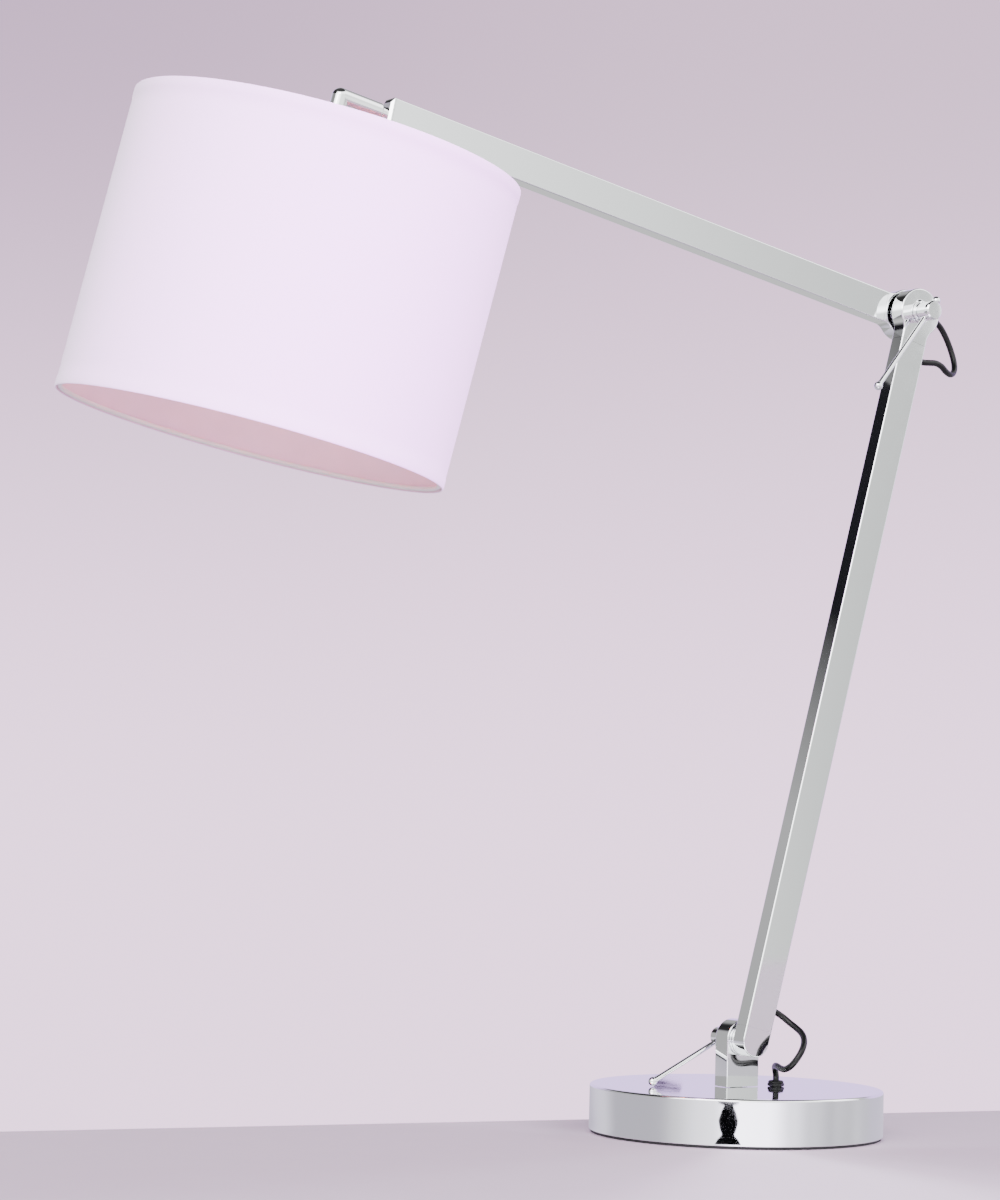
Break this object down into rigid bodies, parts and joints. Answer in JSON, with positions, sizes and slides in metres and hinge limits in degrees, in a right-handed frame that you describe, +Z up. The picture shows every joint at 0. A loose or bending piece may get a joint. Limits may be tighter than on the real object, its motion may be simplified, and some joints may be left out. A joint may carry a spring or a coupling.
{
  "type": "swing arm desk lamp",
  "caption": "Desk lamp with a weighted round base, two flat tube arms on screw clamped pivots and a drum shade that swivels about the upper arm.",
  "frame": {"origin": "middle of the underside of the pad under the base", "axes": "+Z up; the arms swing in planes parallel to XZ; the upper arm and the shade reach towards -X and the lower arm leans towards +X; the flex runs on the +X side and the base clamp's head faces +Y"},
  "size_m": [0.6872, 0.2753, 0.6747],
  "materials": {
    "chrome": "mirror polished chrome plate",
    "zinc_steel": "plain zinc plated steel",
    "cast_iron": "raw casting",
    "black_rubber": "matt",
    "black_nylon": "satin black moulding",
    "flex_pvc": "satin black sheath",
    "white_plastic": "smooth white moulding",
    "white_wire": "white powder coat",
    "linen": "plain woven linen on a stiff lining",
    "contact_brass": "bright",
    "bulb_glass": "frosted",
    "bulb_steel": "nickel plated cap"
  },
  "bodies": {
    "base": {"base_pad": "black_rubber", "base_shell": "chrome", "base_cover": "zinc_steel", "cover_screw_1": "zinc_steel", "cover_screw_2": "zinc_steel", "cover_screw_3": "zinc_steel", "ballast_plate": "cast_iron", "post": "chrome", "post_screw": "zinc_steel", "post_washer": "zinc_steel", "gland_body": "black_nylon", "gland_cap": "black_nylon", "gland_locknut": "black_nylon", "mains_bush": "black_nylon", "terminal_block": "white_plastic", "flex_base": "flex_pvc", "base_spacer": "chrome", "base_clamp_washer": "chrome", "flex_base_loop": "flex_pvc"},
    "base_clamp": {"base_clamp_screw": "chrome"},
    "base_bar": {"base_bar_rod": "chrome", "base_bar_ball_far": "chrome", "base_bar_ball_near": "chrome"},
    "lower_arm": {"lower_arm_foot": "chrome", "lower_arm_tube": "chrome", "lower_arm_hub": "chrome", "flex_grommet_lower": "black_nylon", "flex_grommet_upper": "black_nylon", "flex_lower_arm": "flex_pvc", "elbow_clamp_washer": "chrome", "elbow_spacer": "chrome", "flex_elbow_loop": "flex_pvc"},
    "elbow_clamp": {"elbow_clamp_screw": "chrome"},
    "elbow_bar": {"elbow_bar_rod": "chrome", "elbow_bar_ball_far": "chrome", "elbow_bar_ball_near": "chrome"},
    "upper_arm": {"upper_arm_ear": "chrome", "upper_arm_tube": "chrome", "upper_arm_plug": "chrome", "flex_upper_arm": "flex_pvc"},
    "lamp_head": {"swivel_pipe": "chrome", "flex_head": "flex_pvc", "holder_collar": "chrome", "holder_cap": "white_plastic", "holder_body": "white_plastic", "holder_contact": "contact_brass", "holder_retainer": "white_plastic", "carrier_hub": "white_wire", "carrier_hoop": "white_wire", "carrier_arm_1": "white_wire", "carrier_arm_2": "white_wire", "carrier_arm_3": "white_wire", "shade_lower_ring": "white_wire", "shade_drum": "linen", "bulb_cap": "bulb_steel", "bulb_glass": "bulb_glass"}
  },
  "joints": [
    {"name": "base_pivot", "type": "hinge", "parent": "base", "child": "lower_arm", "pos_m": [0, -0.0156, 0.06475], "axis": [0, 1, 0], "range_deg": [-40, 45], "deforming": ["flex_base_loop"]},
    {"name": "elbow", "type": "hinge", "parent": "lower_arm", "child": "upper_arm", "pos_m": [0.13345, -0.001, 0.57561], "axis": [0, -1, 0], "range_deg": [-80, 45], "deforming": ["flex_elbow_loop"]},
    {"name": "shade_swivel", "type": "hinge", "parent": "upper_arm", "child": "lamp_head", "pos_m": [-0.33434, -0.001, 0.66891], "axis": [-0.9807, 0, 0.1956], "range_deg": [-80, 80]},
    {"name": "base_clamp_turn", "type": "hinge", "parent": "base", "child": "base_clamp", "pos_m": [0, 0.016, 0.06475], "axis": [0, 1, 0], "range_deg": [0, 180]},
    {"name": "base_bar_slide", "type": "slide", "parent": "base_clamp", "child": "base_bar", "axis": [0.8988, 0, 0.4384], "range_m": [0, 0.048]},
    {"name": "elbow_clamp_turn", "type": "hinge", "parent": "lower_arm", "child": "elbow_clamp", "pos_m": [0.13345, -0.0306, 0.57561], "axis": [0, -1, 0], "range_deg": [0, 180]},
    {"name": "elbow_bar_slide", "type": "slide", "parent": "elbow_clamp", "child": "elbow_bar", "axis": [0.6198, 0, 0.7848], "range_m": [0, 0.0625]}
  ]
}
